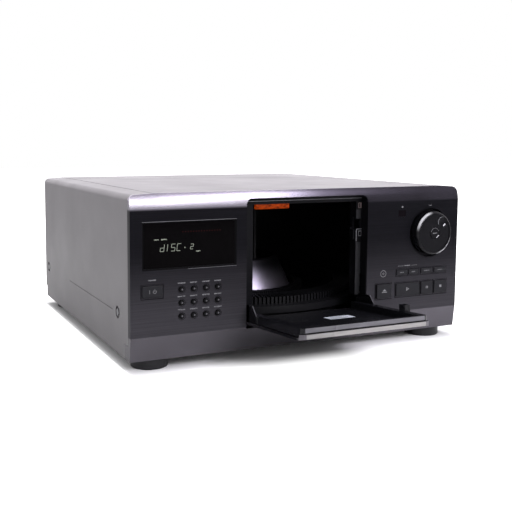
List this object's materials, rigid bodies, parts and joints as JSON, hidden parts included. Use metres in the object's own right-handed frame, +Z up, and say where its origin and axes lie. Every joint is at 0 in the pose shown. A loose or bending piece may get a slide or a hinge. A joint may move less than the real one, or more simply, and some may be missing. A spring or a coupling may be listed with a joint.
{
  "type": "cd changer",
  "caption": "Wide disc changer with a fold-down loading door, a slotted carousel inside, a display window, a jog dial and push buttons.",
  "frame": {"origin": "middle of the bottom of the whole machine's box with the door open, on the plane the feet stand on", "axes": "+X to the right seen from the front, +Y to the back, +Z up"},
  "size_m": [0.43, 0.525, 0.1895],
  "materials": {
    "cover_paint": "semi-matte charcoal enamel with a fine texture",
    "fascia_finish": "dark charcoal plastic with fine horizontal brushing",
    "pan_steel": "dark coated steel",
    "foot_plastic": "moulded dark plastic",
    "socket_plastic": "black plastic with plated contacts",
    "screw_steel": "black zinc",
    "smoked_lens": "smoked clear acrylic",
    "sensor_lens": "dark infrared window",
    "display_glass": "dark display tube in a plastic holder",
    "circuit_board": "green circuit board with black parts",
    "bay_plastic": "black moulding",
    "amber_lens": "clear amber bar",
    "deck_plastic": "black moulding",
    "carousel_plastic": "black moulding with polished cone",
    "belt_rubber": "black rubber",
    "motor_steel": "bright motor cans",
    "shaft_steel": "ground steel",
    "mech_plastic": "dark grey moulding",
    "pickup_plastic": "black moulding",
    "gear_plastic": "natural acetal",
    "transformer_steel": "varnished laminations",
    "tray_plastic": "dark grey moulding",
    "arm_steel": "plated steel",
    "dial_finish": "metallic charcoal with a bright bevel",
    "button_plastic": "metallic charcoal"
  },
  "bodies": {
    "cabinet": {"chassis": "pan_steel", "top_cover": "cover_paint", "rear_panel": "pan_steel", "feet": "foot_plastic", "rear_jacks": "socket_plastic", "power_inlet": "socket_plastic", "case_screws": "screw_steel", "fascia": "fascia_finish", "display_lens": "smoked_lens", "sensor_window": "sensor_lens", "display_module": "display_glass", "control_board": "circuit_board", "dial_board": "circuit_board", "bay_frame": "bay_plastic", "bay_lamp": "amber_lens", "mechanism_base": "deck_plastic", "drive_belt": "belt_rubber", "drive_motors": "motor_steel", "mech_frame": "mech_plastic", "spindle_motor": "motor_steel", "guide_rods": "shaft_steel", "power_transformer": "transformer_steel", "main_board": "circuit_board"},
    "door": {"door_panel": "fascia_finish", "door_tray": "tray_plastic", "hinge_arms": "arm_steel"},
    "carousel_body": {"carousel": "carousel_plastic"},
    "pulley_gear_body": {"pulley_gear": "gear_plastic"},
    "motor_pulley_body": {"motor_pulley": "gear_plastic"},
    "disc_table_body": {"disc_table": "mech_plastic"},
    "pickup_sled_body": {"pickup_sled": "pickup_plastic"},
    "sled_gear_body": {"sled_gear": "gear_plastic"},
    "clamp_arm_body": {"clamp_arm": "mech_plastic"},
    "clamp_puck_body": {"clamp_puck": "gear_plastic"},
    "loading_arm_body": {"loading_arm": "gear_plastic"},
    "cam_gear_body": {"cam_gear": "gear_plastic"},
    "loading_pinion_body": {"loading_pinion": "gear_plastic"},
    "jog_dial_body": {"jog_dial": "dial_finish"},
    "power_button_body": {"power_button": "button_plastic"},
    "open_close_button_body": {"open_close_button": "button_plastic"},
    "play_button_body": {"play_button": "button_plastic"},
    "pause_button_body": {"pause_button": "button_plastic"},
    "stop_button_body": {"stop_button": "button_plastic"},
    "slim_button_1_body": {"slim_button_1": "button_plastic"},
    "slim_button_2_body": {"slim_button_2": "button_plastic"},
    "slim_button_3_body": {"slim_button_3": "button_plastic"},
    "slim_button_4_body": {"slim_button_4": "button_plastic"},
    "small_button_1_body": {"small_button_1": "button_plastic"},
    "small_button_2_body": {"small_button_2": "button_plastic"},
    "small_button_3_body": {"small_button_3": "button_plastic"},
    "small_button_4_body": {"small_button_4": "button_plastic"},
    "small_button_5_body": {"small_button_5": "button_plastic"},
    "small_button_6_body": {"small_button_6": "button_plastic"},
    "small_button_7_body": {"small_button_7": "button_plastic"},
    "small_button_8_body": {"small_button_8": "button_plastic"},
    "small_button_9_body": {"small_button_9": "button_plastic"},
    "small_button_10_body": {"small_button_10": "button_plastic"},
    "small_button_11_body": {"small_button_11": "button_plastic"},
    "small_button_12_body": {"small_button_12": "button_plastic"},
    "enter_button_body": {"enter_button": "dial_finish"}
  },
  "joints": [
    {"name": "door_hinge", "type": "hinge", "parent": "cabinet", "child": "door", "pos_m": [0, -0.13409, 0.052], "axis": [-1, 0, 0], "range_deg": [0, 86]},
    {"name": "carousel_turn", "type": "hinge", "parent": "cabinet", "child": "carousel_body", "pos_m": [0, 0.05191, 0.044], "axis": [0, 0, 1], "continuous": true},
    {"name": "pulley_gear_turn", "type": "hinge", "parent": "cabinet", "child": "pulley_gear_body", "pos_m": [-0.08989, -0.06314, 0.038], "axis": [0, 0, 1], "continuous": true},
    {"name": "motor_pulley_turn", "type": "hinge", "parent": "cabinet", "child": "motor_pulley_body", "pos_m": [-0.06157, -0.02689, 0.0324], "axis": [0, 0, 1], "continuous": true},
    {"name": "disc_spin", "type": "hinge", "parent": "cabinet", "child": "disc_table_body", "pos_m": [0.005, 0.05191, 0.11], "axis": [1, 0, 0], "continuous": true},
    {"name": "sled_slide", "type": "slide", "parent": "cabinet", "child": "pickup_sled_body", "axis": [0, 0, -1], "range_m": [0, 0.034]},
    {"name": "sled_gear_turn", "type": "hinge", "parent": "cabinet", "child": "sled_gear_body", "pos_m": [0.006, 0.07891, 0.084], "axis": [1, 0, 0], "range_deg": [-2, 328]},
    {"name": "clamp_arm_swing", "type": "hinge", "parent": "cabinet", "child": "clamp_arm_body", "pos_m": [-0.012, 0.05191, 0.1745], "axis": [0, 1, 0], "range_deg": [-0.1, 6.1]},
    {"name": "clamp_puck_spin", "type": "hinge", "parent": "clamp_arm_body", "child": "clamp_puck_body", "pos_m": [-0.01, 0.05191, 0.11], "axis": [1, 0, 0], "continuous": true},
    {"name": "loading_arm_lift", "type": "hinge", "parent": "cabinet", "child": "loading_arm_body", "pos_m": [-0.00575, 0.09791, 0.042], "axis": [1, 0, 0], "range_deg": [-0.1, 20.1]},
    {"name": "cam_turn", "type": "hinge", "parent": "cabinet", "child": "cam_gear_body", "pos_m": [0.0345, 0.06191, 0.034], "axis": [0, 0, 1], "range_deg": [0, 120]},
    {"name": "loading_pinion_turn", "type": "hinge", "parent": "cabinet", "child": "loading_pinion_body", "pos_m": [0.0345, 0.04191, 0.034], "axis": [0, 0, 1], "range_deg": [-282, 2]},
    {"name": "jog_turn", "type": "hinge", "parent": "cabinet", "child": "jog_dial_body", "pos_m": [0.172, -0.14809, 0.1325], "axis": [0, -1, 0], "continuous": true},
    {"name": "power_button_press", "type": "slide", "parent": "cabinet", "child": "power_button_body", "axis": [0, 1, 0], "range_m": [0, 0.0008], "stiffness_N_per_m": 300},
    {"name": "open_close_button_press", "type": "slide", "parent": "cabinet", "child": "open_close_button_body", "axis": [0, 1, 0], "range_m": [0, 0.0008], "stiffness_N_per_m": 300},
    {"name": "play_button_press", "type": "slide", "parent": "cabinet", "child": "play_button_body", "axis": [0, 1, 0], "range_m": [0, 0.0008], "stiffness_N_per_m": 300},
    {"name": "pause_button_press", "type": "slide", "parent": "cabinet", "child": "pause_button_body", "axis": [0, 1, 0], "range_m": [0, 0.0008], "stiffness_N_per_m": 300},
    {"name": "stop_button_press", "type": "slide", "parent": "cabinet", "child": "stop_button_body", "axis": [0, 1, 0], "range_m": [0, 0.0008], "stiffness_N_per_m": 300},
    {"name": "slim_button_1_press", "type": "slide", "parent": "cabinet", "child": "slim_button_1_body", "axis": [0, 1, 0], "range_m": [0, 0.0008], "stiffness_N_per_m": 300},
    {"name": "slim_button_2_press", "type": "slide", "parent": "cabinet", "child": "slim_button_2_body", "axis": [0, 1, 0], "range_m": [0, 0.0008], "stiffness_N_per_m": 300},
    {"name": "slim_button_3_press", "type": "slide", "parent": "cabinet", "child": "slim_button_3_body", "axis": [0, 1, 0], "range_m": [0, 0.0008], "stiffness_N_per_m": 300},
    {"name": "slim_button_4_press", "type": "slide", "parent": "cabinet", "child": "slim_button_4_body", "axis": [0, 1, 0], "range_m": [0, 0.0008], "stiffness_N_per_m": 300},
    {"name": "small_button_1_press", "type": "slide", "parent": "cabinet", "child": "small_button_1_body", "axis": [0, 1, 0], "range_m": [0, 0.0008], "stiffness_N_per_m": 300},
    {"name": "small_button_2_press", "type": "slide", "parent": "cabinet", "child": "small_button_2_body", "axis": [0, 1, 0], "range_m": [0, 0.0008], "stiffness_N_per_m": 300},
    {"name": "small_button_3_press", "type": "slide", "parent": "cabinet", "child": "small_button_3_body", "axis": [0, 1, 0], "range_m": [0, 0.0008], "stiffness_N_per_m": 300},
    {"name": "small_button_4_press", "type": "slide", "parent": "cabinet", "child": "small_button_4_body", "axis": [0, 1, 0], "range_m": [0, 0.0008], "stiffness_N_per_m": 300},
    {"name": "small_button_5_press", "type": "slide", "parent": "cabinet", "child": "small_button_5_body", "axis": [0, 1, 0], "range_m": [0, 0.0008], "stiffness_N_per_m": 300},
    {"name": "small_button_6_press", "type": "slide", "parent": "cabinet", "child": "small_button_6_body", "axis": [0, 1, 0], "range_m": [0, 0.0008], "stiffness_N_per_m": 300},
    {"name": "small_button_7_press", "type": "slide", "parent": "cabinet", "child": "small_button_7_body", "axis": [0, 1, 0], "range_m": [0, 0.0008], "stiffness_N_per_m": 300},
    {"name": "small_button_8_press", "type": "slide", "parent": "cabinet", "child": "small_button_8_body", "axis": [0, 1, 0], "range_m": [0, 0.0008], "stiffness_N_per_m": 300},
    {"name": "small_button_9_press", "type": "slide", "parent": "cabinet", "child": "small_button_9_body", "axis": [0, 1, 0], "range_m": [0, 0.0008], "stiffness_N_per_m": 300},
    {"name": "small_button_10_press", "type": "slide", "parent": "cabinet", "child": "small_button_10_body", "axis": [0, 1, 0], "range_m": [0, 0.0008], "stiffness_N_per_m": 300},
    {"name": "small_button_11_press", "type": "slide", "parent": "cabinet", "child": "small_button_11_body", "axis": [0, 1, 0], "range_m": [0, 0.0008], "stiffness_N_per_m": 300},
    {"name": "small_button_12_press", "type": "slide", "parent": "cabinet", "child": "small_button_12_body", "axis": [0, 1, 0], "range_m": [0, 0.0008], "stiffness_N_per_m": 300},
    {"name": "enter_button_press", "type": "slide", "parent": "cabinet", "child": "enter_button_body", "axis": [0, 1, 0], "range_m": [0, 0.0008], "stiffness_N_per_m": 300}
  ],
  "couplings": [
    {"joint": "pulley_gear_turn", "follows": "carousel_turn", "ratio": 11.429},
    {"joint": "motor_pulley_turn", "follows": "carousel_turn", "ratio": 47.519},
    {"joint": "sled_gear_turn", "follows": "sled_slide", "rad_per_m": 166.67},
    {"joint": "loading_pinion_turn", "follows": "cam_turn", "ratio": -2.3333},
    {"joint": "loading_arm_lift", "follows": "cam_turn", "ratio": 0.16667},
    {"joint": "clamp_arm_swing", "follows": "cam_turn", "ratio": 0.05}
  ]
}
